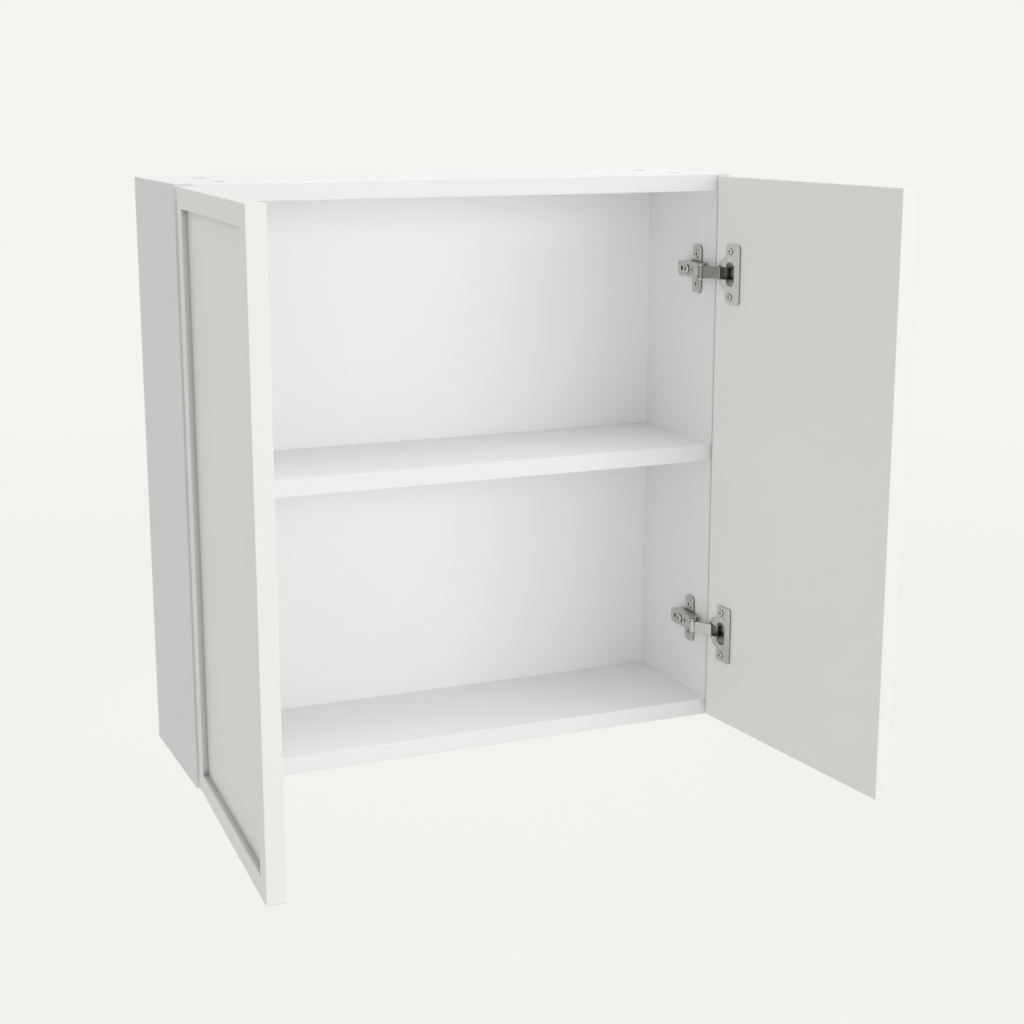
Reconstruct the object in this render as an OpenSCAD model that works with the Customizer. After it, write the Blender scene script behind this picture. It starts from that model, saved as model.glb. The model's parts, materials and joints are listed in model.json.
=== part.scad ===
// Two-door hanging wall cabinet on concealed cup hinges, doors standing open.
// Origin: on the wall plane, midway between the two wall screws.
// +Z up, +X to the right seen from the front, the front faces -Y.

/* [Carcass] */
// Overall width over the side panels
cab_w = 600; // [450:10:900]
// Overall height of the side panels
cab_h = 600; // [450:10:900]
// Depth of the side, top and bottom panels
cab_d = 170; // [170:5:350]
// Thickness of the side, top and bottom panels
panel_t = 18; // [16:0.5:19]
// Thickness of the shelf
shelf_t = 18; // [16:0.5:19]
// Height of the shelf's middle above the underside of the cabinet
shelf_mid = 300; // [200:5:380]
// Free play between the shelf's rear edge and the back panel
shelf_play = 0.3; // [0.1:0.1:1]
// Width of the broken edge on the boards
edge_ease = 0.6; // [0.3:0.1:1]

/* [Back] */
// Thickness of the back panel
back_t = 3; // [2.5:0.5:5]
// Thickness of the two rails behind the back panel
rail_t = 15; // [14:0.5:18]
// Height of the upper rail, which carries the wall hangers
upper_rail_h = 100; // [80:5:120]
// Height of the lower rail
lower_rail_h = 70; // [60:5:100]
// Depth of the groove that holds the back panel
groove_d = 6; // [4:0.5:8]
// Play of the back panel in its groove, on each side
groove_play = 0.1; // [0.05:0.05:0.3]

/* [Corner joints] */
// Diameter of a dowel
dowel_d = 8; // [6:1:10]
// Length of a dowel
dowel_l = 30; // [25:1:35]
// Chamfer of a dowel's ends
dowel_ease = 0.8; // [0.4:0.1:1.5]
// Play round a dowel, on the radius
dowel_play = 0.05; // [0.02:0.01:0.1]
// Depth of the dowel's hole in the side panel
dowel_seat = 10; // [8:1:12]
// Diameter of a cam housing
cam_d = 15; // [12:1:18]
// Height of a cam housing
cam_h = 12.5; // [11:0.5:13]
// Distance from a board's end to the cam's middle
cam_reach = 34; // [24:1:40]
// Play round cams and cam bolts, on the radius
cam_play = 0.1; // [0.05:0.05:0.3]
// Diameter of the cam bolt's thread
bolt_thread_d = 5; // [4:0.5:6]
// Length of the cam bolt's thread
bolt_thread_l = 11; // [9:0.5:13]
// Diameter of the cam bolt's collar
bolt_collar_d = 7.6; // [7:0.1:8]
// Diameter of the cam bolt's neck
bolt_neck_d = 4; // [3:0.5:5]
// Diameter of the hole for the bolt in a board's end
bolt_bore_d = 8; // [8:0.5:9]
// Distance of the outer cam bolts from the front and the rear of a board
joint_inset = 37; // [30:1:41]
// Distance from a cam bolt to the dowel beside it
dowel_pitch = 32; // [20:1:32]
// Diameter of the cam bolt's head inside the cam
bolt_head_d = 6; // [5:0.5:6.5]
// Length of the cam bolt's head
bolt_head_l = 4; // [3:0.5:5]
// Length of the cam bolt's collar
bolt_collar_l = 3; // [2:0.5:5]
// Free room round a bolt's neck and head in its cam
cam_room = 0.3; // [0.1:0.05:0.5]
// Depth of the cam's face below the board's face
cam_sink = 0.5; // [0.2:0.1:1]
// Diameter of the cap over a cam
cap_d = 17; // [16.5:0.5:20]
// Thickness of the cap over a cam
cap_t = 0.8; // [0.5:0.1:1.5]

/* [Wall hangers] */
// Distance from the side panels' inner faces to the wall screws
hanger_inset = 42; // [30:1:120]
// Distance from the wall screws to the top of the cabinet
hanger_drop = 55; // [54:1:60]
// Width of a hanger plate
hanger_w = 32; // [28:1:40]
// Height of a hanger plate
hanger_h = 64; // [60:1:70]
// Thickness of a hanger plate
hanger_t = 2; // [2:0.25:3]
// Play round a hanger plate in its recess
hanger_play = 0.1; // [0.05:0.05:0.3]
// Radius of a hanger plate's corners
hanger_r = 4; // [1:0.5:8]
// Shank diameter of a hanger plate's screws
hanger_screw_d = 4; // [3:0.5:4.5]
// Head diameter of a hanger plate's screws
hanger_head_d = 7.6; // [7:0.2:8]
// Length of a hanger plate's screws
hanger_screw_l = 10; // [8:0.5:11]
// Diameter of the keyhole's entry, which passes the screw's head
key_entry_d = 10; // [9:0.5:12]
// Width of the keyhole's slot
key_slot_w = 5; // [4:0.5:5.5]
// Rise of the slot above the entry
key_rise = 12; // [8:1:12]
// Depth of the pocket behind the keyhole
key_pocket_d = 9; // [6:0.5:9]
// Margin of that pocket round the keyhole
key_pocket_rim = 2; // [1:0.25:2.5]
// Distance from the keyhole's entry to a fixing screw of the plate
hanger_screw_z = 22; // [22:1:25]

/* [Doors] */
// Thickness of a door
door_t = 18; // [18:0.5:22]
// Gap between a closed door and the carcass
door_gap = 2; // [1:0.25:3]
// Side panel left uncovered outside a closed door
side_reveal = 1.5; // [0.5:0.25:3]
// Gap between the two closed doors
centre_gap = 3; // [2:0.5:5]
// Side panel left uncovered above and below a door
end_reveal = 2; // [1:0.5:4]
// Width of the raised frame round the door's recess
frame_w = 20; // [15:1:60]
// Depth of the recess in the door's outer face
recess_d = 6; // [3:0.5:6]
// Angle at which the left door stands
left_open = 93; // [80:1:105]
// Angle at which the right door stands
right_open = 95; // [80:1:105]

/* [Hinge cups] */
// Height of a hinge's middle from the top or the bottom of the cabinet
hinge_inset = 103; // [80:1:140]
// Diameter of the cup bore in the door
cup_bore_d = 35; // [35:1:40]
// Depth of the cup bore
cup_bore_h = 10.9; // [10.8:0.1:11.5]
// Distance from the door's edge to the cup bore
cup_edge = 5; // [3:0.5:7]
// Play round the cup, on the radius
cup_play = 0.1; // [0.05:0.05:0.2]
// Thickness of the cup's floor
cup_floor_t = 0.7; // [0.5:0.1:1]
// Height of the cup's flange
flange_h = 62; // [60:1:72]
// Thickness of the cup's rim on the door
flange_t = 1.2; // [0.8:0.1:1.4]
// Thickness of the flange's two wings
flange_wing_t = 2; // [1.5:0.1:2.2]
// Distance between the cup's two screws
cup_screw_pitch = 48; // [42:1:52]
// Offset of the cup's screws from its middle, away from the door's edge
cup_screw_off = 6; // [5:0.5:9.5]
// Distance of the cup's pin from the door's edge
cup_pin_s = 8.5; // [8.5:0.25:9.5]
// Depth of the cup's pin below the door's inner face
cup_pin_h = 5; // [4.5:0.25:5.5]
// Distance from the door's edge to the cup's hinge-side wall
cup_wall_s = 6; // [5.7:0.1:6]
// Width of the pocket in the cup
pocket_w = 25; // [20:0.5:26]
// Distance from the door's edge to the pocket's far wall
pocket_end = 35.5; // [33:0.5:36]
// Chamfer of the pocket's corners
pocket_ease = 4; // [3:0.5:6]
// Distance from the door's edge to the near side of the flange's wings
flange_start = 20; // [18:0.5:21]
// Width of the flange's wings
flange_w = 24.5; // [20:0.5:26]
// Radius of the flange's corners
flange_r = 3; // [2:0.5:8]
// Radius of the rim round the cup
rim_r = 17.9; // [17.6:0.1:18.5]

/* [Hinge links] */
// Arm pin's distance from the side panel
arm_pin_x = 16; // [14:0.5:18]
// Arm pin's distance behind the cabinet's front
arm_pin_y = 4; // [3:0.5:6]
// Turn of a link for each degree that its door turns
link_ratio = 0.18; // [0.16:0.01:0.22]
// Thickness of a link's bar
link_t = 2.2; // [1.8:0.1:2.4]
// Width of a link along its pins
link_w = 12.4; // [10:0.2:12.6]
// Distance from the cup pin to the link's knee
knee_l = 7.2; // [6.6:0.1:7.4]
// Angle of the knee away from the line between the pins
knee_a = 52; // [48:1:54]
// Diameter of the pin in the cup
cup_pin_d = 2.4; // [2:0.1:2.6]
// Play between the cup pin's ends and the cup's round wall
cup_pin_play = 0.3; // [0.1:0.1:0.6]
// Outer diameter of the link's eye round the cup pin
cup_eye_d = 4.4; // [4:0.1:4.4]
// Diameter of the pin in the arm
arm_pin_d = 3; // [2.4:0.1:3.6]
// Outer diameter of the link's eye round the arm pin
arm_eye_d = 6; // [5:0.2:6.6]
// Metal of the arm's cheeks round the arm pin
nose_wall = 1.7; // [1.4:0.1:1.9]
// Inset of the nose's metal where it enters the cheeks
nose_inset = 0.5; // [0.3:0.1:0.8]
// Thickness of the arm pin's riveted heads
rivet_t = 0.6; // [0.4:0.1:1]
// Reach of those heads past the pin, on the radius
rivet_lip = 0.9; // [0.6:0.1:1.2]
// Running clearance of a link on its pin, on the radius
pin_play = 0.05; // [0.02:0.01:0.1]
// Clearance between a link and the walls beside it
link_play = 0.35; // [0.3:0.05:0.6]

/* [Mounting plates and arms] */
// Distance of the plate's screws behind the cabinet's front
plate_setback = 37; // [30:1:45]
// Distance between the plate's two screws
plate_screw_pitch = 32; // [28:1:36]
// Height of the plate over its wings
plate_h = 52; // [46:1:60]
// Width of a plate's wing
wing_w = 18; // [14:1:22]
// Radius of a wing's corners
wing_r = 5; // [1:0.5:8]
// Radius of the flare between the wings and the middle of a plate
flare_r = 5; // [2:0.5:7]
// Thickness of a plate's wing
wing_t = 2.2; // [1.8:0.1:3]
// Height of the plate's ridge above the side panel
ridge_x = 11; // [10:0.5:13]
// Clearance of the plate's ridge between the arm's cheeks, on each side
ridge_play = 0.6; // [0.5:0.05:0.8]
// Reach of the plate's middle beyond its ridge, on each side
plate_shoulder = 1.2; // [0.5:0.1:2]
// Front end of the plate's ridge behind the cabinet's front
ridge_start = 22; // [20:0.5:25]
// Length of the plate's ridge
ridge_l = 36; // [30:0.5:37]
// Radius of the arm's rear corners
arm_r = 4; // [1:0.5:7]
// Travel of the fixing screw in the arm's slot
fix_travel = 4; // [2:0.5:5]
// Play of the fixing screw across the slot, on each side
slot_play = 0.3; // [0.1:0.1:0.6]
// Distance from the arm's rear end to the hole near it
arm_hole_back = 8.5; // [6:0.5:9]
// Diameter of the hole near the arm's rear end
arm_hole_d = 5; // [3:0.5:6]
// Thickness of the arm's metal
arm_t = 1.5; // [1.2:0.1:1.8]
// Start of the arm's roof behind the cabinet's front
arm_front = 13; // [11:1:16]
// End of the arm behind the cabinet's front
arm_end = 60; // [54:1:66]
// Distance of the side-adjusting screw behind the cabinet's front
adjust_y = 29; // [26:0.5:30]
// Distance of the fixing screw behind the cabinet's front
fix_y = 40; // [39:0.5:44]

/* [Screws] */
// Shank diameter of the plate's and hanger's screws
screw_d = 5; // [4:0.5:6]
// Head diameter of those screws
screw_head_d = 9; // [8:0.2:10]
// Rise of the plate screws' heads above the plate
screw_head_rise = 0.8; // [0.4:0.1:1.2]
// Length of those screws
screw_l = 13; // [10:1:14]
// Shank diameter of the cup's screws
cup_screw_d = 3.5; // [3:0.25:4]
// Head diameter of the cup's screws
cup_screw_head_d = 6.6; // [6:0.2:7.5]
// Thickness of the cup screws' heads
cup_screw_head_t = 1.7; // [1.2:0.1:2]
// Length of the cup's screws
cup_screw_l = 9; // [8:0.5:10]
// Spare depth at the bottom of a blind hole
hole_spare = 0.5; // [0.2:0.1:0.8]
// Play round a riveted pin, on the radius
rivet_play = 0.02; // [0.01:0.01:0.04]
// Play round a screw in its hole, on the radius
screw_play = 0.05; // [0.02:0.01:0.1]
// Shank diameter of the arm's screws
arm_screw_d = 5; // [4:0.5:6]
// Head diameter of the arm's fixing screw
arm_head_d = 9; // [8:0.5:10]
// Thickness of the fixing screw's head
arm_head_t = 2.2; // [1.5:0.1:3]
// Distance of the fixing screw's tip from the side panel
arm_tip_x = 1.5; // [1:0.1:2]
// Rise of the adjusting screw's head above the arm
adjust_rise = 0.4; // [0.2:0.1:1]

/* [Hidden] */
$fn = 48;
eps = 0.01;                                   // overshoot of a cut past a face
cross_l = 0.6;                                // length of a cross recess, against its head's width
cross_w = 0.14;                               // width and depth of it, against its head's width

// Levels and planes of the carcass
z_top = hanger_drop;
z_bot = hanger_drop - cab_h;
half_out = cab_w/2;
half_in = cab_w/2 - panel_t;
back_front = rail_t + back_t;                 // from the wall to the back panel's front
z_shelf = z_bot + shelf_mid;
groove_end = groove_d - groove_play;          // reach of the back panel into its groove

// Corner joints, front to rear
bolt_ys = [-cab_d + joint_inset, -back_front - joint_inset];
dowel_ys = [bolt_ys[0] + dowel_pitch, bolt_ys[1] - dowel_pitch];
// Middle height, thickness and cam side of each horizontal board: top, bottom, shelf
boards = [[z_top - panel_t/2, panel_t, 1], [z_bot + panel_t/2, panel_t, -1],
          [z_shelf, shelf_t, -1]];
// Middle height of each dowel in the ends of the rails
upper_rail_z = z_top - panel_t - upper_rail_h/2;
lower_rail_z = z_bot + panel_t + lower_rail_h/2;
rail_dowel_zs = [for (r = [[upper_rail_z, upper_rail_h], [lower_rail_z, lower_rail_h]], s = [-1, 1])
  r[0] + s*(r[1]/2 - 2*dowel_d)];

// Doors
door_w = half_out - side_reveal - centre_gap/2;
door_h = cab_h - 2*end_reveal;
z_door = z_bot + end_reveal;
cup_r = cup_bore_d/2;
cup_s = cup_edge + cup_r;                     // cup's middle from the door's edge
cup_h = cup_bore_h - cup_floor_t/2;           // height of the cup's body
hinge_zs = [z_top - hinge_inset, z_bot + hinge_inset];

// Hinge linkage in plan, from the side panel's inner face and the cabinet's front
function turn(a, p) = [p[0]*cos(a) - p[1]*sin(a), p[0]*sin(a) + p[1]*cos(a)];
function ray(a) = [cos(a), sin(a)];
arm_pin = [arm_pin_x, arm_pin_y];
door_corner_shut = [side_reveal - panel_t, -door_gap];
cup_pin_in_door = [cup_pin_s, -cup_pin_h];
link_shut = door_corner_shut + cup_pin_in_door - arm_pin;
link_l = norm(link_shut);
// With the doors standing open: a door's angle, the way from its arm pin to its cup pin, its corner
function open_of(side) = side < 0 ? left_open : right_open;
function link_of(side) = turn(link_ratio*open_of(side), link_shut);
function corner_of(side) = arm_pin + link_of(side) - turn(-open_of(side), cup_pin_in_door);

// Arm and plate across the hinge
link_space = link_w/2 + link_play;            // half the room between the arm's cheeks
arm_half = link_space + arm_t;
ridge_half = link_space + link_play - ridge_play;
roof_x = ridge_x + arm_t;
nose_r = arm_pin_d/2 + nose_wall;
cheek_x = wing_t + link_play;                 // the cheeks stand clear of the plate's wings
cup_pin_half = sqrt(pow(cup_r - cup_play - cup_pin_play, 2)
  - pow(cup_s - cup_pin_s + cup_pin_d/2, 2)); // reach of the cup's pin into the walls

// ---------- shapes ----------

// Cylinder along +X from the origin
module rod_x(r, l) rotate([0, 90, 0]) cylinder(r = r, h = l);

// Solid of revolution about +X, from a half profile of [x, radius] points
module turned_x(pts) rotate([0, 90, 0]) rotate_extrude() polygon([for (p = pts) [p[1], p[0]]]);

// Plan [x, z] sunk from the plane y = 0 towards -Y
module sunk(depth) rotate([90, 0, 0]) linear_extrude(depth) children();

// Plan [y, z] raised from the plane x = 0 towards +X
module raised_x(h) rotate([90, 0, 90]) linear_extrude(h) children();

// Plan raised by half on each side of z = 0
module centred(w) translate([0, 0, -w/2]) linear_extrude(w) children();

module chamfered_square(size, e) polygon([[e, 0], [size[0] - e, 0], [size[0], e],
  [size[0], size[1] - e], [size[0] - e, size[1]], [e, size[1]], [0, size[1] - e], [0, e]]);

// Rectangle with round corners, centred
module round_square(size, r) {
  square([size[0] - 2*r, size[1]], center = true);
  square([size[0], size[1] - 2*r], center = true);
  for (x = [-1, 1], y = [-1, 1]) translate([x*(size[0]/2 - r), y*(size[1]/2 - r)]) circle(r);
}

// Two discs and the straight tangents between them
module strap(p, rp, q, rq) {
  d = norm(q - p);
  a = atan2(q[1] - p[1], q[0] - p[0]);
  b = acos((rp - rq)/d);
  translate(p) circle(rp);
  translate(q) circle(rq);
  polygon([p + rp*ray(a + b), q + rq*ray(a + b), q + rq*ray(a - b), p + rp*ray(a - b)]);
}

// Cross recess of a screw head, cut downwards from the plane x = 0
module cross_x(head_d) {
  l = cross_l*head_d;
  w = cross_w*head_d;
  for (a = [0, 90]) rotate([a, 0, 0]) translate([-w, -l/2, -w/2]) cube([w + eps, l, w]);
}

// Pan head on the plane x = 0, eased towards its crown
module pan_head(d, t) turned_x([[0, 0], [0, d/2], [t/2, d/2], [t, 0.35*d], [t, 0]]);

// ---------- places ----------

// Left-hand things as drawn, right-hand things mirrored
module handed(side) if (side < 0) children(); else mirror([1, 0, 0]) children();

// Origin at the side panel's inner face, the cabinet's front and height z
module at_side(side, z) handed(side) translate([-half_in, -cab_d, z]) children();

// Origin at the door's inner corner on its hinge edge: +X along its width, +Y out of its inner face
module at_door(side, z = 0) handed(side)
  translate([-half_in + corner_of(side)[0], -cab_d + corner_of(side)[1], z])
    rotate([0, 0, -open_of(side)]) children();

// Origin on the cup's pin, +X towards the arm's pin
module at_link(side, z) handed(side)
  translate([-half_in + arm_pin[0] + link_of(side)[0], -cab_d + arm_pin[1] + link_of(side)[1], z])
    rotate([0, 0, atan2(-link_of(side)[1], -link_of(side)[0])]) children();

// ---------- carcass ----------

// Everything that enters a side panel from its inner face
module side_bores(side) {
  for (b = boards) {
    for (y = dowel_ys) at_wall(y, b[0]) bore_in(dowel_d/2 + dowel_play, dowel_seat + hole_spare);
    for (y = bolt_ys) at_wall(y, b[0]) bore_in(bolt_thread_d/2 + screw_play, bolt_thread_l);
  }
  for (z = rail_dowel_zs) at_wall(-rail_t/2, z)
    bore_in(dowel_d/2 + dowel_play, dowel_seat + hole_spare);
  for (z = hinge_zs, s = [-1, 1]) at_wall(-cab_d + plate_setback, z + s*plate_screw_pitch/2)
    bore_in(screw_d/2 + screw_play, screw_l - wing_t + hole_spare);
}
// Place on the left panel's inner face, and a bore from it into the panel
module at_wall(y, z) translate([-half_in, y, z]) children();
module bore_in(r, depth) translate([-depth, 0, 0]) rod_x(r, depth + eps);

module side_panel(side) color("white") handed(side) difference() {
  translate([-half_out, -cab_d, z_bot]) linear_extrude(cab_h)
    polygon([[edge_ease, 0], [panel_t - edge_ease, 0], [panel_t, edge_ease],
      [panel_t, cab_d], [0, cab_d], [0, edge_ease]]);
  translate([-half_in - groove_d, -back_front - groove_play, z_bot + panel_t - groove_d])
    cube([groove_d + eps, back_t + 2*groove_play, cab_h - 2*(panel_t - groove_d)]);
  side_bores(side);
}

// Board between the side panels, its middle at z = 0, with the fittings of both ends
module cross_board(t, rear, cam_side) difference() {
  translate([-half_in, 0, 0]) raised_x(2*half_in)
    polygon([[-cab_d + edge_ease, -t/2], [-cab_d, edge_ease - t/2], [-cab_d, t/2 - edge_ease],
      [-cab_d + edge_ease, t/2], [rear, t/2], [rear, -t/2]]);
  for (side = [-1, 1]) handed(side) {
    for (y = dowel_ys) translate([-half_in - eps, y, 0])
      rod_x(dowel_d/2 + dowel_play, dowel_l - dowel_seat + hole_spare);
    for (y = bolt_ys) translate([-half_in - eps, y, 0]) {
      rod_x(bolt_bore_d/2, cam_reach);
      translate([cam_reach, 0, cam_side*(t/2 - (cam_h + cam_sink)/2)])
        cylinder(r = cam_d/2 + cam_play, h = cam_h + cam_sink + 2*eps, center = true);
    }
  }
}

// Groove for the back panel in the top or bottom board's inner face
module board_groove(inner_z, into) translate([-half_in - eps, -back_front - groove_play,
    inner_z + (into < 0 ? -groove_d : -eps)])
  cube([2*half_in + 2*eps, back_t + 2*groove_play, groove_d + eps]);

module top_panel() color("white") difference() {
  translate([0, 0, boards[0][0]]) cross_board(panel_t, 0, boards[0][2]);
  board_groove(z_top - panel_t, 1);
}
module bottom_panel() color("white") difference() {
  translate([0, 0, boards[1][0]]) cross_board(panel_t, 0, boards[1][2]);
  board_groove(z_bot + panel_t, -1);
}
module shelf() color("white") translate([0, 0, boards[2][0]])
  cross_board(shelf_t, -back_front - shelf_play, boards[2][2]);

module back_panel() color("whitesmoke")
  translate([-half_in - groove_end, -back_front, z_bot + panel_t - groove_end])
    cube([2*(half_in + groove_end), back_t, cab_h - 2*(panel_t - groove_end)]);

// Rail behind the back panel, with its dowel bores
module rear_rail(z, h) difference() {
  translate([-half_in, -rail_t, z - h/2]) cube([2*half_in, rail_t, h]);
  for (side = [-1, 1], dz = [-1, 1]) handed(side)
    translate([-half_in - eps, -rail_t/2, z + dz*(h/2 - 2*dowel_d)])
      rod_x(dowel_d/2 + dowel_play, dowel_l - dowel_seat + hole_spare);
}
module upper_rear_rail() color("tan") difference() {
  rear_rail(upper_rail_z, upper_rail_h);
  for (side = [-1, 1]) at_hanger(side) {
    translate([0, eps, 0]) sunk(hanger_t + eps)
      round_square([hanger_w + 2*hanger_play, hanger_h + 2*hanger_play], hanger_r);
    sunk(hanger_t + key_pocket_d)
      keyhole(key_slot_w + 2*key_pocket_rim, key_entry_d + 2*key_pocket_rim, key_rise);
    for (s = [-1, 1]) translate([0, 0, s*hanger_screw_z]) sunk(hanger_screw_l + hole_spare)
      circle(hanger_screw_d/2 + screw_play);
  }
}
module lower_rear_rail() color("tan") rear_rail(lower_rail_z, lower_rail_h);

module at_hanger(side) translate([side*(half_in - hanger_inset), 0, 0]) children();

// Keyhole with its entry at the origin and its slot rising from it
module keyhole(slot_w, entry_d, rise) {
  circle(entry_d/2);
  translate([0, rise]) circle(slot_w/2);
  translate([-slot_w/2, 0]) square([slot_w, rise]);
}

module wall_hanger(side) color("silver") at_hanger(side) difference() {
  sunk(hanger_t) difference() {
    round_square([hanger_w, hanger_h], hanger_r);
    keyhole(key_slot_w, key_entry_d, key_rise);
  }
  for (s = [-1, 1]) translate([0, 0, s*hanger_screw_z]) rotate([90, 0, 0])
    csk_bore(hanger_screw_d/2 + screw_play, hanger_head_d/2 + screw_play, hanger_t);
}

// Countersunk bore through a plate, widest at the origin and sinking along +Z
module csk_bore(r, rh, t) {
  translate([0, 0, -eps]) cylinder(r = r, h = t + 2*eps);
  cylinder(r1 = rh, r2 = r, h = rh - r);
}

// Countersunk screw pointing along +Z from the origin, its crown raised above it
module csk_screw(d, head_d, l, rise = 0) difference() {
  union() {
    cylinder(r1 = head_d/2, r2 = d/2, h = (head_d - d)/2);
    cylinder(r = d/2, h = l);
    if (rise > 0) translate([0, 0, -rise]) cylinder(r1 = head_d/2 - rise, r2 = head_d/2, h = rise);
  }
  translate([0, 0, -rise]) rotate([0, 90, 0]) cross_x(head_d);
}

module hanger_screws() color("silver") for (side = [-1, 1], s = [-1, 1]) at_hanger(side)
  translate([0, 0, s*hanger_screw_z]) rotate([90, 0, 0])
    csk_screw(hanger_screw_d, hanger_head_d, hanger_screw_l);

// ---------- corner fittings ----------

module dowel() turned_x([[0, 0], [0, dowel_d/2 - dowel_ease], [dowel_ease, dowel_d/2],
  [dowel_l - dowel_ease, dowel_d/2], [dowel_l, dowel_d/2 - dowel_ease], [dowel_l, 0]]);

module dowels() color("burlywood") for (side = [-1, 1]) handed(side)
  translate([-half_in - dowel_seat, 0, 0]) {
    for (b = boards, y = dowel_ys) translate([0, y, b[0]]) dowel();
    for (z = rail_dowel_zs) translate([0, -rail_t/2, z]) dowel();
  }

module cam_bolt() turned_x([[-bolt_thread_l, 0], [-bolt_thread_l, bolt_thread_d/2],
  [0, bolt_thread_d/2], [0, bolt_collar_d/2], [bolt_collar_l, bolt_collar_d/2],
  [bolt_collar_l, bolt_neck_d/2], [cam_reach - bolt_head_l/2, bolt_neck_d/2],
  [cam_reach - bolt_head_l/2, bolt_head_d/2], [cam_reach + bolt_head_l/2, bolt_head_d/2],
  [cam_reach + bolt_head_l/2, 0]]);

module cam_bolts() color("silver") for (side = [-1, 1]) handed(side)
  for (b = boards, y = bolt_ys) translate([-half_in, y, b[0]]) cam_bolt();

// Cam housing round a bolt's head at the origin; top is its face's height
module cam_lock(top) difference() {
  translate([0, 0, top - cam_h]) cylinder(r = cam_d/2, h = cam_h);
  translate([-bolt_head_l/2 - cam_room, 0, 0])
    rod_x(bolt_head_d/2 + cam_room, bolt_head_l + 2*cam_room);
  translate([-cam_d/2, 0, 0]) rod_x(bolt_neck_d/2 + cam_room, cam_d/2);
  translate([0, 0, top]) rotate([0, -90, 0]) cross_x(0.8*cam_d);
}

module cam_locks() color("silver") for (side = [-1, 1]) handed(side)
  for (b = boards, y = bolt_ys) translate([-half_in + cam_reach, y, b[0]])
    mirror([0, 0, b[2] < 0 ? 1 : 0]) cam_lock(b[1]/2 - cam_sink);

// Caps over the cams under the bottom panel and under the shelf
module cam_caps() color("white") for (side = [-1, 1]) handed(side)
  for (b = [boards[1], boards[2]], y = bolt_ys)
    translate([-half_in + cam_reach, y, b[0] - b[1]/2 - cap_t]) cylinder(r = cap_d/2, h = cap_t);

// ---------- mounting plates and arms ----------

// Outline of a plate in [y, z]: two wings that flare into the middle
module plate_outline() {
  mid = ridge_half + plate_shoulder;
  translate([plate_setback, 0]) round_square([wing_w, plate_h], wing_r);
  translate([ridge_start, -mid]) square([ridge_l, 2*mid]);
  for (y = [-1, 1], z = [-1, 1]) translate([plate_setback + y*wing_w/2, z*mid])
    mirror([y < 0 ? 1 : 0, 0]) mirror([0, z < 0 ? 1 : 0]) difference() {
      square(flare_r);
      translate([flare_r, flare_r]) circle(flare_r);
    }
}

module mounting_plate(side, z) color("silver") at_side(side, z) difference() {
  union() {
    raised_x(wing_t) plate_outline();
    translate([0, ridge_start, -ridge_half]) cube([ridge_x, ridge_l, 2*ridge_half]);
  }
  for (s = [-1, 1]) translate([wing_t, plate_setback, s*plate_screw_pitch/2])
    rotate([0, -90, 0]) csk_bore(screw_d/2 + screw_play, screw_head_d/2 + screw_play, wing_t);
  translate([1, fix_y, 0]) rod_x(arm_screw_d/2 + screw_play, ridge_x);
}

module plate_screws() color("silver") for (side = [-1, 1], z = hinge_zs, s = [-1, 1])
  at_side(side, z + s*plate_screw_pitch/2) translate([wing_t, plate_setback, 0])
    rotate([0, -90, 0]) csk_screw(screw_d, screw_head_d, screw_l, screw_head_rise);

module hinge_arm(side, z) color("silver") at_side(side, z) difference() {
  half = (roof_x - cheek_x)/2;                // the cheeks' half height where they meet the nose
  slot_r = arm_screw_d/2 + slot_play;
  union() {
    intersection() {
      centred(2*arm_half) translate([cheek_x, arm_front])
        square([roof_x - cheek_x, arm_end - arm_front]);
      raised_x(roof_x + arm_pin_x) translate([arm_end/2, 0])
        round_square([arm_end, 2*arm_half], arm_r);
    }
    centred(2*arm_half)
      strap(arm_pin, nose_r, [cheek_x + half, arm_front + half + 2*nose_inset],
        half - nose_inset);
  }
  centred(2*link_space) {
    translate([-roof_x, -roof_x]) square([ridge_x + roof_x, arm_end + 2*roof_x]);
    translate([-roof_x, -roof_x]) square([4*roof_x, arm_front + roof_x]);
    translate([roof_x, -roof_x]) square([roof_x, arm_end + 2*roof_x]);
  }
  translate([arm_pin_x, arm_pin_y, 0])
    cylinder(r = arm_pin_d/2 + rivet_play, h = 2*arm_half + 2*eps, center = true);
  translate([ridge_x - eps, 0, 0]) raised_x(2*arm_t) {
    translate([adjust_y, 0]) circle(arm_screw_d/2 + screw_play);
    strap([fix_y - fix_travel/2, 0], slot_r, [fix_y + fix_travel/2, 0], slot_r);
    translate([arm_end - arm_hole_back, 0]) circle(arm_hole_d/2);
  }
}

// Pan-head fixing screws through the arms' slots into the plates
module arm_fixing_screws() color("silver") for (side = [-1, 1], z = hinge_zs)
  at_side(side, z) translate([roof_x, fix_y, 0]) difference() {
    union() {
      translate([arm_tip_x - roof_x, 0, 0]) rod_x(arm_screw_d/2, roof_x - arm_tip_x + arm_head_t/2);
      pan_head(arm_head_d, arm_head_t);
    }
    translate([arm_head_t, 0, 0]) cross_x(arm_head_d);
  }

// Set screws that move the arms' fronts off the plates
module arm_adjusting_screws() color("silver") for (side = [-1, 1], z = hinge_zs)
  at_side(side, z) translate([ridge_x, adjust_y, 0]) difference() {
    rod_x(arm_screw_d/2, arm_t + adjust_rise);
    translate([arm_t + adjust_rise, 0, 0]) cross_x(1.2*arm_screw_d);
  }

// Riveted pins of the links in the arms
module arm_pins() color("silver") for (side = [-1, 1], z = hinge_zs)
  at_side(side, z) translate([arm_pin_x, arm_pin_y, 0]) {
    cylinder(r = arm_pin_d/2, h = 2*arm_half, center = true);
    for (s = [0, 1]) mirror([0, 0, s]) translate([0, 0, arm_half])
      cylinder(r1 = arm_pin_d/2 + rivet_lip, r2 = arm_pin_d/2, h = rivet_t);
  }

// ---------- links ----------

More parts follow.
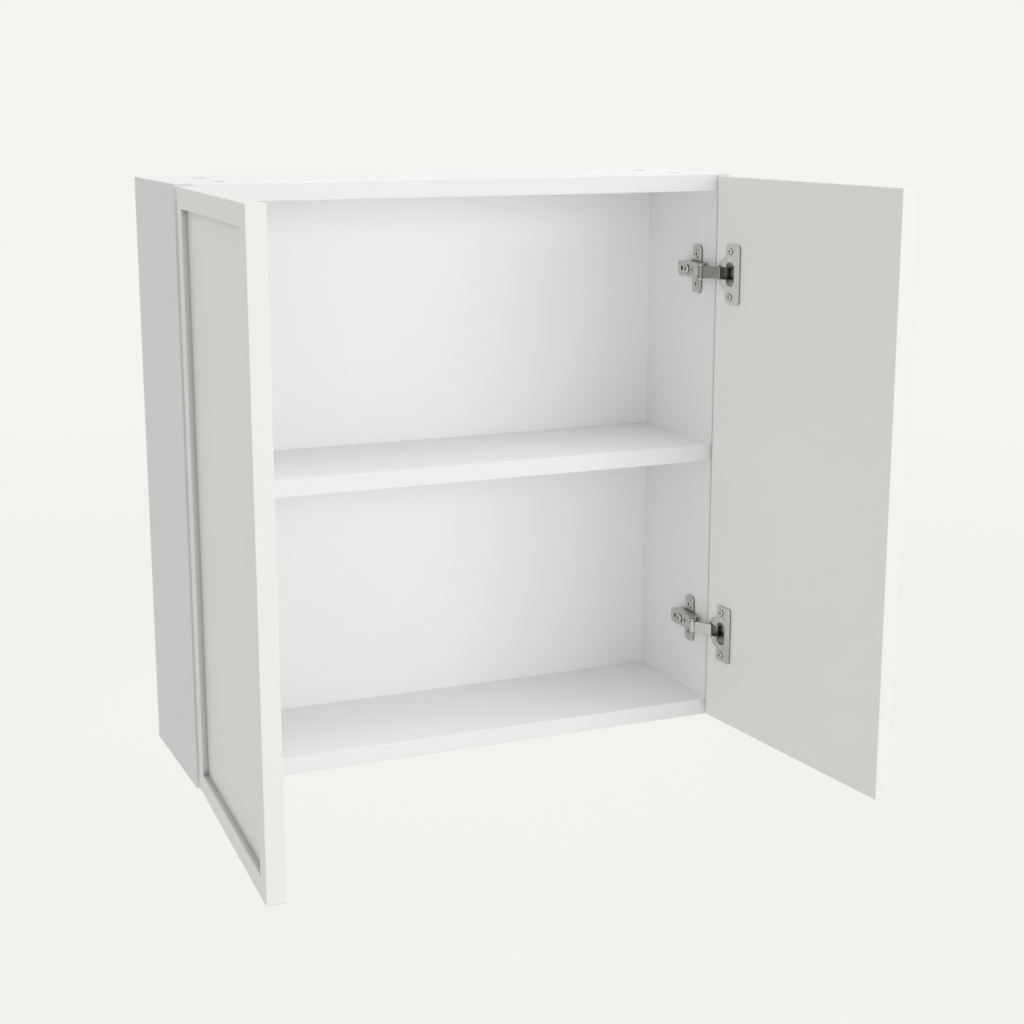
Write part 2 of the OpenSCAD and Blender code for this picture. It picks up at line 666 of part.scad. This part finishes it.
// Kneed link: from its eye on the cup's pin round the door's edge to the arm's pin
module link() difference() {
  knee = knee_l*ray(-knee_a);
  centred(link_w) {
    strap([0, 0], cup_eye_d/2, knee, link_t/2);
    strap(knee, link_t/2, [link_l, 0], link_t/2);
    translate([link_l, 0]) circle(arm_eye_d/2);
  }
  cylinder(r = cup_pin_d/2 + pin_play, h = 2*link_w, center = true);
  translate([link_l, 0, 0]) cylinder(r = arm_pin_d/2 + pin_play, h = 2*link_w, center = true);
}

module links(side) color("gray") for (z = hinge_zs) at_link(side, z) link();

// ---------- doors ----------

// Board with every edge broken, its low corner at the origin
module eased_board(size, e) intersection() {
  linear_extrude(size[2]) chamfered_square([size[0], size[1]], e);
  translate([0, size[1], 0]) sunk(size[1]) chamfered_square([size[0], size[2]], e);
  raised_x(size[0]) chamfered_square([size[1], size[2]], e);
}

// Sunk field of a door, with its rim broken: wider towards -Y
module door_recess(w, h) {
  translate([0, -recess_d, 0]) cube([w, recess_d + eps, h]);
  translate([0, -recess_d, 0]) intersection() {
    linear_extrude(3*h, center = true) rim_flare(w);
    translate([-w, 0, 0]) rotate([0, 90, 0]) linear_extrude(3*w) mirror([1, 0]) rim_flare(h);
  }
}
// Section of the broken rim across a field of width w
module rim_flare(w) polygon([[-edge_ease - eps, -eps], [w + edge_ease + eps, -eps],
  [w, edge_ease], [0, edge_ease]]);

module door_panel(side) color("white") at_door(side) difference() {
  translate([0, -door_t, z_door]) eased_board([door_w, door_t, door_h], edge_ease);
  translate([frame_w, recess_d - door_t, z_door + frame_w])
    door_recess(door_w - 2*frame_w, door_h - 2*frame_w);
  for (z = hinge_zs) translate([0, 0, z]) {
    translate([cup_s, eps, 0]) sunk(cup_bore_h + eps) circle(cup_r);
    for (s = [-1, 1]) translate([cup_s + cup_screw_off, eps, s*cup_screw_pitch/2])
      sunk(cup_screw_l - flange_wing_t + hole_spare) circle(cup_screw_d/2 + screw_play);
  }
}

// ---------- hinge cups ----------

// Wings of a cup's flange in [x, z]
module cup_wings() translate([flange_start + flange_w/2, 0])
  round_square([flange_w, flange_h], flange_r);

// Pocket of a cup in [x, z]: the links' way in and the room beyond it
module cup_pocket() {
  translate([cup_wall_s, -link_space])
    square([flange_start + pocket_ease - cup_wall_s, 2*link_space]);
  translate([flange_start, -pocket_w/2])
    chamfered_square([pocket_end - flange_start, pocket_w], pocket_ease);
}

module hinge_cup(side, z) color("silver") at_door(side, z) difference() {
  union() {
    translate([cup_s, 0, 0]) sunk(cup_h) circle(cup_r - cup_play);
    translate([0, flange_t, 0]) sunk(flange_t) translate([cup_s, 0]) circle(rim_r);
    translate([0, flange_wing_t, 0]) sunk(flange_wing_t) cup_wings();
  }
  translate([0, flange_wing_t + eps, 0]) sunk(flange_wing_t + cup_h - cup_floor_t + eps)
    cup_pocket();
  translate([cup_pin_s, -cup_pin_h, 0])
    cylinder(r = cup_pin_d/2 + rivet_play, h = 2*cup_pin_half, center = true);
  for (s = [-1, 1]) translate([cup_s + cup_screw_off, 2*flange_wing_t, s*cup_screw_pitch/2])
    sunk(3*flange_wing_t) circle(cup_screw_d/2 + screw_play);
}

module cup_pins(side) color("silver") for (z = hinge_zs) at_door(side, z)
  translate([cup_pin_s, -cup_pin_h, 0])
    cylinder(r = cup_pin_d/2, h = 2*cup_pin_half, center = true);

// Pan-head screws through the flanges
module cup_screws(side) color("silver") for (z = hinge_zs, s = [-1, 1])
  at_door(side, z + s*cup_screw_pitch/2) translate([cup_s + cup_screw_off, flange_wing_t, 0])
    rotate([0, 0, 90]) difference() {
      union() {
        translate([-cup_screw_l, 0, 0]) rod_x(cup_screw_d/2, cup_screw_l + cup_screw_head_t/2);
        pan_head(cup_screw_head_d, cup_screw_head_t);
      }
      translate([cup_screw_head_t, 0, 0]) cross_x(cup_screw_head_d);
    }

side_panel(-1);  // left_side_panel
side_panel(1);  // right_side_panel
top_panel();
bottom_panel();
shelf();
back_panel();
upper_rear_rail();
lower_rear_rail();
dowels();
cam_bolts();
cam_locks();
cam_caps();
wall_hanger(-1);  // left_wall_hanger
wall_hanger(1);  // right_wall_hanger
hanger_screws();
mounting_plate(-1, hinge_zs[0]);  // left_upper_mounting_plate
mounting_plate(-1, hinge_zs[1]);  // left_lower_mounting_plate
mounting_plate(1, hinge_zs[0]);  // right_upper_mounting_plate
mounting_plate(1, hinge_zs[1]);  // right_lower_mounting_plate
plate_screws();
hinge_arm(-1, hinge_zs[0]);  // left_upper_hinge_arm
hinge_arm(-1, hinge_zs[1]);  // left_lower_hinge_arm
hinge_arm(1, hinge_zs[0]);  // right_upper_hinge_arm
hinge_arm(1, hinge_zs[1]);  // right_lower_hinge_arm
arm_fixing_screws();
arm_adjusting_screws();
arm_pins();
links(-1);  // left_links
links(1);  // right_links
door_panel(-1);  // left_door_panel
door_panel(1);  // right_door_panel
hinge_cup(-1, hinge_zs[0]);  // left_upper_hinge_cup
hinge_cup(-1, hinge_zs[1]);  // left_lower_hinge_cup
hinge_cup(1, hinge_zs[0]);  // right_upper_hinge_cup
hinge_cup(1, hinge_zs[1]);  // right_lower_hinge_cup
cup_screws(-1);  // left_cup_screws
cup_screws(1);  // right_cup_screws
cup_pins(-1);  // left_cup_pins
cup_pins(1);  // right_cup_pins
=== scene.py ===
"""White hanging wall cabinet with its doors open: looks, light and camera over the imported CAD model.
Metres, +Z up, the front faces -Y, the origin is on the wall midway between the two wall screws."""
import json
import math

import bmesh
import bpy
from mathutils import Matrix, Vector

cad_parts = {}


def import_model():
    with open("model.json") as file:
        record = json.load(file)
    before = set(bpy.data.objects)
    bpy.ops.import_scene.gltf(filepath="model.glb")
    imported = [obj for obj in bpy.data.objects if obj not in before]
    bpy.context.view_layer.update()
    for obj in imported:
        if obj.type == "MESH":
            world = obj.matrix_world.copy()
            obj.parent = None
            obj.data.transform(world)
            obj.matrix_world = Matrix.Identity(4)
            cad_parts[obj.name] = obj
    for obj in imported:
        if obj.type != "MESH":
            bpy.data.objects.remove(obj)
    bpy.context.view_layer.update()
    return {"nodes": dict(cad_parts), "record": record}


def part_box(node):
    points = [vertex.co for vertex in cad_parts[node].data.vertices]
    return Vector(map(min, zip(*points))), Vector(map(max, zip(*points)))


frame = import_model()
NODES = frame["nodes"]
SLOT_OF = {part["node"]: part["material_slot"] for part in frame["record"]["subparts"]}
MM = 0.001

SIDE_LOW, SIDE_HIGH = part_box("left_side_panel")
FRONT_Y = SIDE_LOW.y                          # front edges of the boards
REAR_Y = SIDE_HIGH.y                          # wall plane
SHELF_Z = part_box("shelf")[0].z                # the shelf parts the upper hinges from the lower ones


# ---------- node helpers ----------

class Graph:
    """The node tree of a material or world, with short calls to add and join nodes."""

    def __init__(self, owner):
        owner.use_nodes = True
        self.owner = owner
        self.tree = owner.node_tree
        self.tree.nodes.clear()
        own = self.node("ShaderNodeTexCoord").outputs
        self.coords, self.normal = own["Object"], own["Normal"]

    def node(self, kind, inputs=None, **settings):
        made = self.tree.nodes.new(kind)
        for key, value in settings.items():
            setattr(made, key, value)
        for key, value in (inputs or {}).items():
            self.put(made.inputs[key], value)
        return made

    def put(self, socket, value):
        if isinstance(value, bpy.types.NodeSocket):
            self.tree.links.new(value, socket)
        else:
            socket.default_value = value

    def math(self, operation, a, b=0.0):
        return self.node("ShaderNodeMath", {0: a, 1: b}, operation=operation).outputs[0]

    def rest_of(self, share):
        """What a share leaves of 1."""
        return self.math("SUBTRACT", 1.0, share)

    def axis(self, vector, name):
        return self.node("ShaderNodeSeparateXYZ", {0: vector}).outputs[name]

    def rearward(self):
        """1 on a face that looks to the wall, -1 on one that looks to the front."""
        return self.axis(self.node("ShaderNodeNewGeometry").outputs["Normal"], "Y")

    def stretch(self, x, y, z):
        """Object coordinates scaled along each axis."""
        inputs = {"Vector": self.coords, "Scale": (x, y, z)}
        return self.node("ShaderNodeMapping", inputs).outputs["Vector"]

    def noise(self, scale, detail=2.0, rough=0.5, coords=None):
        inputs = {"Vector": coords or self.coords, "Scale": scale, "Detail": detail, "Roughness": rough}
        return self.node("ShaderNodeTexNoise", inputs).outputs["Fac"]

    def spread(self, value, low, high, from_low=0.0, from_high=1.0):
        """Value mapped from its own range to low and high."""
        inputs = {0: value, 1: from_low, 2: from_high, 3: low, 4: high}
        return self.node("ShaderNodeMapRange", inputs).outputs[0]

    def mix(self, factor, a, b):
        inputs = {"Factor": factor, "A": a, "B": b}
        made = self.node("ShaderNodeMix", data_type="RGBA")
        for socket in made.inputs:
            if socket.enabled and socket.name in inputs:
                self.put(socket, inputs[socket.name])
        return next(socket for socket in made.outputs if socket.enabled)

    def clouded(self, scale, detail, tone, share, warm=0.0):
        """A near-even tone with soft clouds, between that share of the tone and the whole of it."""
        cloud = self.spread(self.noise(scale, detail), 0.0, 1.0, 0.3, 0.7)
        return self.mix(cloud, grey(tone * share, warm), grey(tone, warm))

    def openness(self, reach, power, samples, **settings):
        """1 in the open, and towards 0 in closed corners."""
        inputs = {"Distance": reach}
        air = self.node("ShaderNodeAmbientOcclusion", inputs, samples=samples, **settings).outputs["AO"]
        return self.math("POWER", air, power)

    def rounded(self, radius):
        """Normals that round the sharp edges."""
        return self.node("ShaderNodeBevel", {"Radius": radius}, samples=6).outputs[0]

    def bump(self, height, distance, normal=None):
        inputs = {"Height": height, "Distance": distance}
        if normal is not None:
            inputs["Normal"] = normal
        return self.node("ShaderNodeBump", inputs).outputs["Normal"]

    def finish(self, **inputs):
        """Puts the inputs on a Principled shader and gives back the material."""
        shader = self.node("ShaderNodeBsdfPrincipled")
        for key, value in inputs.items():
            self.put(shader.inputs[key.replace("_", " ")], value)
        self.node("ShaderNodeOutputMaterial", {"Surface": shader.outputs[0]})
        return self.owner


def material_graph(name):
    return Graph(bpy.data.materials.new(name))


def grey(value, warm=0.0):
    """Linear colour of a near-neutral, with less blue where warm is above 0."""
    return (value * (1 + 0.2 * warm), value, value * (1 - warm), 1.0)


# ---------- materials ----------

TURNED = 0.5                                  # share of its normal by which a face looks to front or rear
EDGE_BAND = 1.2 * MM                          # depth of the band on a board's front edge
BAND_JOINT = 0.12 * MM                        # half the width of the line behind the band
RAW_DEPTH = 0.5 * MM                          # a rear face this near the wall plane is a sawn edge


def chipboard(g):
    """Raw chipboard: flakes of a few millimetres in several tans."""
    flake_inputs = {"Vector": g.stretch(1, 1, 2.2), "Scale": 420.0}
    flakes = g.node("ShaderNodeTexVoronoi", flake_inputs).outputs["Color"]
    tan = g.mix(g.axis(flakes, "X"), (0.36, 0.25, 0.15, 1), (0.66, 0.52, 0.36, 1))
    return g.mix(g.noise(1400.0), tan, (0.5, 0.38, 0.25, 1))


def melamine(name, tone=0.92):
    """Matt white melamine: fine pearl emboss, plain edge band in front, raw chipboard at the rear edge."""
    g = material_graph(name)
    facing = g.rearward()
    depth = g.axis(g.coords, "Y")
    at_wall = g.math("GREATER_THAN", depth, REAR_Y - RAW_DEPTH)
    raw = g.math("MULTIPLY", g.math("GREATER_THAN", facing, TURNED), at_wall)
    band = g.math("LESS_THAN", facing, -TURNED)
    from_joint = g.math("ABSOLUTE", g.math("SUBTRACT", depth, FRONT_Y + EDGE_BAND))
    joint = g.math("LESS_THAN", from_joint, BAND_JOINT)
    white = g.clouded(4.0, 3.0, tone, 0.988)
    white = g.mix(band, white, grey(tone * 0.93))
    white = g.mix(g.math("MULTIPLY", joint, 0.35), white, grey(tone * 0.62))
    pearl = g.math("MULTIPLY", g.noise(850.0, 3.0, 0.6), g.rest_of(band))
    rough = g.spread(g.noise(35.0, 4.0), 0.62, 0.72)
    rough = g.math("ADD", g.math("MULTIPLY", band, -0.06), rough)
    return g.finish(Base_Color=g.mix(raw, white, chipboard(g)), Roughness=rough,
                    Specular_IOR_Level=0.3, Normal=g.bump(pearl, 0.05 * MM))


def lacquer(name, tone=0.90, warm=0.02):
    """White satin lacquer on fibreboard: a faint orange peel, no grain, and painted shade in closed
    corners.
    The door's edges and the sides of its steps are painted a little darker than its faces as shade, and
    take more of that painted shade."""
    g = material_graph(name)
    step = g.rest_of(g.math("ABSOLUTE", g.axis(g.normal, "X")))
    sprayed = g.clouded(3.0, 2.0, tone, 0.99, warm)
    # painted shade: the door's edges and the sides of its steps a little darker than its faces
    sprayed = g.mix(step, sprayed, grey(tone * 0.95, warm))
    # painted shade in closed corners, by ambient occlusion, stronger on the edges and the sides of the
    # steps
    closed_in = g.rest_of(g.openness(9 * MM, 1.5, samples=6, only_local=True))
    shade = g.math("MULTIPLY", closed_in, g.spread(step, 0.30, 0.80))
    peel = g.noise(210.0, 2.0)
    dust = g.noise(1600.0, 1.0)
    relief = g.math("ADD", peel, g.math("MULTIPLY", dust, 0.15))
    return g.finish(Base_Color=g.mix(shade, sprayed, grey(tone * 0.15, warm)),
                    Roughness=g.spread(g.noise(22.0, 3.0), 0.33, 0.41), Specular_IOR_Level=0.45,
                    Normal=g.bump(relief, 0.03 * MM, g.rounded(1.0 * MM)))


def fibreboard(name, tone=0.92):
    """White-faced hardboard of the back: smooth in front, brown and felted behind."""
    g = material_graph(name)
    behind = g.math("GREATER_THAN", g.rearward(), TURNED)
    felt = g.mix(g.noise(700.0, 4.0, 0.7), (0.30, 0.19, 0.11, 1), (0.46, 0.32, 0.20, 1))
    return g.finish(Base_Color=g.mix(behind, g.clouded(5.0, 3.0, tone, 0.985), felt),
                    Roughness=g.spread(behind, 0.46, 0.85), Specular_IOR_Level=0.35,
                    Normal=g.bump(g.noise(900.0, 3.0), 0.04 * MM))


def bare_board(name):
    """Unfaced chipboard of the rails."""
    g = material_graph(name)
    return g.finish(Base_Color=chipboard(g), Roughness=g.spread(g.noise(500.0), 0.7, 0.9),
                    Specular_IOR_Level=0.2, Normal=g.bump(g.noise(800.0, 4.0, 0.7), 0.25 * MM))


def beech(name):
    """Beech of the dowels: grain along their length."""
    g = material_graph(name)
    grain = g.noise(900.0, 4.0, 0.6, g.stretch(0.08, 1, 1))
    colour = g.mix(grain, (0.44, 0.28, 0.15, 1), (0.66, 0.47, 0.29, 1))
    return g.finish(Base_Color=colour, Roughness=g.spread(grain, 0.55, 0.75),
                    Normal=g.bump(grain, 0.08 * MM))


def plated(name, tone, rough, warm, grain=(1, 1, 1), upper=1.0):
    """Plated steel: rolled grain, handling marks, uneven gloss, round edges and painted shade in creases.
    Above the shelf its tone is multiplied by the last argument, a painted shade for the darker reflection
    there."""
    g = material_graph(name)
    high = g.math("GREATER_THAN", g.axis(g.coords, "Z"), SHELF_Z)

    def metal(share, tint):
        # above the shelf the tone takes the painted shade that stands for a darker reflection
        return g.mix(high, grey(tone * share, warm * tint), grey(tone * share * upper, warm * tint))

    rolled = g.noise(1500.0, 3.0, 0.6, g.stretch(*grain))
    marks = g.spread(g.noise(160.0, 4.0, 0.7), 0.0, 1.0, 0.35, 0.75)
    bright = g.mix(marks, metal(1.0, 1.0), metal(0.9, 1.4))
    # painted shade: creases and holes darkened by ambient occlusion
    colour = g.mix(g.openness(3 * MM, 1.8, samples=8), grey(tone * 0.12, warm * 2), bright)
    gloss = g.math("ADD", g.spread(rolled, -0.05, 0.05), g.spread(marks, rough - 0.04, rough + 0.09))
    return g.finish(Base_Color=colour, Metallic=1.0, Roughness=gloss,
                    Normal=g.bump(rolled, 0.02 * MM, g.rounded(0.4 * MM)))


def cast_zinc(name):
    """Die-cast zinc of the cam housings: dull, with a sandy skin."""
    g = material_graph(name)
    sand = g.noise(1200.0, 3.0, 0.7)
    colour = g.mix(g.noise(200.0), (0.36, 0.37, 0.39, 1), (0.52, 0.53, 0.55, 1))
    return g.finish(Base_Color=colour, Metallic=0.85, Roughness=g.spread(sand, 0.45, 0.65),
                    Normal=g.bump(sand, 0.06 * MM))


def moulded(name, tone=0.90):
    """Matt white plastic of the caps."""
    g = material_graph(name)
    skin = g.noise(1300.0, 2.0)
    colour = g.mix(g.noise(60.0), grey(tone * 0.98), grey(tone))
    return g.finish(Base_Color=colour, Roughness=g.spread(skin, 0.45, 0.58),
                    Normal=g.bump(skin, 0.03 * MM))


MATERIALS = {
    "white_board": melamine("white_melamine"),
    "white_door": lacquer("white_lacquer"),
    "back_board": fibreboard("white_fibreboard"),
    "raw_board": bare_board("raw_chipboard"),
    "beech": beech("beech"),
    "zinc_cast": cast_zinc("cast_zinc"),
    "zinc_steel": plated("zinc_plate", tone=0.52, rough=0.42, warm=-0.02),
    "cap_plastic": moulded("white_plastic"),
    "nickel_plate": plated("nickel_on_plates", tone=0.58, rough=0.28, warm=0.03, grain=(1, 0.15, 1)),
    "nickel_cup": plated("nickel_on_cups", tone=0.66, rough=0.28, warm=0.03, grain=(1, 1, 0.15)),
    "screw_steel": plated("nickel_on_screws", tone=0.66, rough=0.24, warm=0.02),
    # painted shade: the links above the shelf are darker, for their darker reflection
    "link_steel": plated("nickel_on_links", tone=0.60, rough=0.20, warm=0.02, grain=(1, 1, 0.2),
                         upper=0.45),
}


def dress():
    """Gives every CAD node its material."""
    for name, piece in NODES.items():
        for slot in piece.material_slots:
            slot.material = MATERIALS[SLOT_OF[name]]


# ---------- stage ----------

FLOOR_Z = SIDE_LOW.z - 0.9                    # well below the cabinet, which hangs
FLOOR_HALF = 14.0
FADE = (2.0, 8.0)                             # the floor fades into the surroundings between these
PALE = 0.90                                   # linear level of the pale surroundings
SURROUND = grey(1.0, 0.035)
AMBIENT = 0.58                                # light from all round
GLOW_SHARE = 0.90                             # share of the floor's own glow where the camera sees it


def surroundings_seen(g):
    """1 for rays by which the camera or a gloss sees the surroundings."""
    path = g.node("ShaderNodeLightPath").outputs
    return g.math("MAXIMUM", path["Is Camera Ray"], path["Is Glossy Ray"])


def floor_material():
    """Pale paint that glows where it is seen, and fades to clear far from the cabinet."""
    g = material_graph("pale_floor")
    tint = g.mix(g.noise(0.6, 2.0), grey(0.80, 0.03), grey(0.83, 0.03))
    paint = g.node("ShaderNodeBsdfDiffuse", {"Color": tint}).outputs[0]
    glow = g.node("ShaderNodeEmission", {"Color": SURROUND, "Strength": PALE}).outputs[0]
    share = g.math("MULTIPLY", surroundings_seen(g), GLOW_SHARE)
    lit = g.node("ShaderNodeMixShader", {0: share, 1: paint, 2: glow}).outputs[0]
    clear = g.node("ShaderNodeBsdfTransparent").outputs[0]
    reach = g.node("ShaderNodeVectorMath", {0: g.coords}, operation="LENGTH").outputs["Value"]
    fade_inputs = {0: reach, 1: FADE[0], 2: FADE[1]}
    faded = g.node("ShaderNodeMapRange", fade_inputs, interpolation_type="SMOOTHSTEP").outputs[0]
    mixed = g.node("ShaderNodeMixShader", {0: faded, 1: lit, 2: clear}).outputs[0]
    g.node("ShaderNodeOutputMaterial", {"Surface": mixed})
    return g.owner


def pale_floor():
    """Wide pale floor well below the cabinet, which keeps its faint shadow."""
    mesh = bpy.data.meshes.new("floor")
    shape = bmesh.new()
    bmesh.ops.create_grid(shape, x_segments=1, y_segments=1, size=FLOOR_HALF)
    shape.to_mesh(mesh)
    shape.free()
    floor = bpy.data.objects.new("floor", mesh)
    floor.location = (0, 0, FLOOR_Z)
    bpy.context.scene.collection.objects.link(floor)
    mesh.materials.append(floor_material())


def world():
    """Even white light from all round, and the pale surroundings where they are seen."""
    g = Graph(bpy.data.worlds.new("studio"))
    light = g.node("ShaderNodeBackground", {"Color": (1, 1, 1, 1), "Strength": AMBIENT}).outputs[0]
    seen = g.node("ShaderNodeBackground", {"Color": SURROUND, "Strength": PALE}).outputs[0]
    mixed = g.node("ShaderNodeMixShader", {0: surroundings_seen(g), 1: light, 2: seen}).outputs[0]
    g.node("ShaderNodeOutputWorld", {"Surface": mixed})
    bpy.context.scene.world = g.owner


MIDDLE = Vector((0, -0.2, -0.25))             # inside the cabinet; every lamp is turned to it
LAMPS = (                                     # name, place, width, watts
    ("key", (1.2, -3.0, 0.3), 1.2, 21.0),
    ("fill", (-0.9, -3.2, 0.2), 1.5, 6.0),
    ("low_fill", (0.3, -3.0, -0.7), 1.2, 4.0),
    ("overhead", (0.95, -0.6, 3.0), 2.4, 46.0),
    ("rear_fill", (1.1, 3.0, -0.68), 1.3, 10.0),
)


def soft_box(name, place, width, watts):
    """Square area lamp turned to the cabinet."""
    data = bpy.data.lights.new(name, "AREA")
    data.shape = "SQUARE"
    data.size = width
    data.energy = watts
    lamp = bpy.data.objects.new(name, data)
    lamp.location = place
    lamp.rotation_euler = (MIDDLE - Vector(place)).to_track_quat("-Z", "Y").to_euler()
    bpy.context.scene.collection.objects.link(lamp)


CAMERA_PLACE = (-0.7001, -1.8998, 0.1361)
LENS, SENSOR = 64.72, 36.0                    # millimetres
LOOKS_DOWN, LOOKS_RIGHT = 12.76, 23.31        # degrees


def camera():
    """The photograph's viewing place: to the left, a little above the top, looking right and down."""
    data = bpy.data.cameras.new("camera")
    data.lens = LENS
    data.sensor_width = SENSOR
    made = bpy.data.objects.new("camera", data)
    made.location = CAMERA_PLACE
    made.rotation_euler = (math.radians(90 - LOOKS_DOWN), 0, math.radians(-LOOKS_RIGHT))
    bpy.context.scene.collection.objects.link(made)
    bpy.context.scene.camera = made


dress()
world()
pale_floor()
for lamp in LAMPS:
    soft_box(*lamp)
camera()
bpy.context.scene.view_settings.view_transform = "Standard"
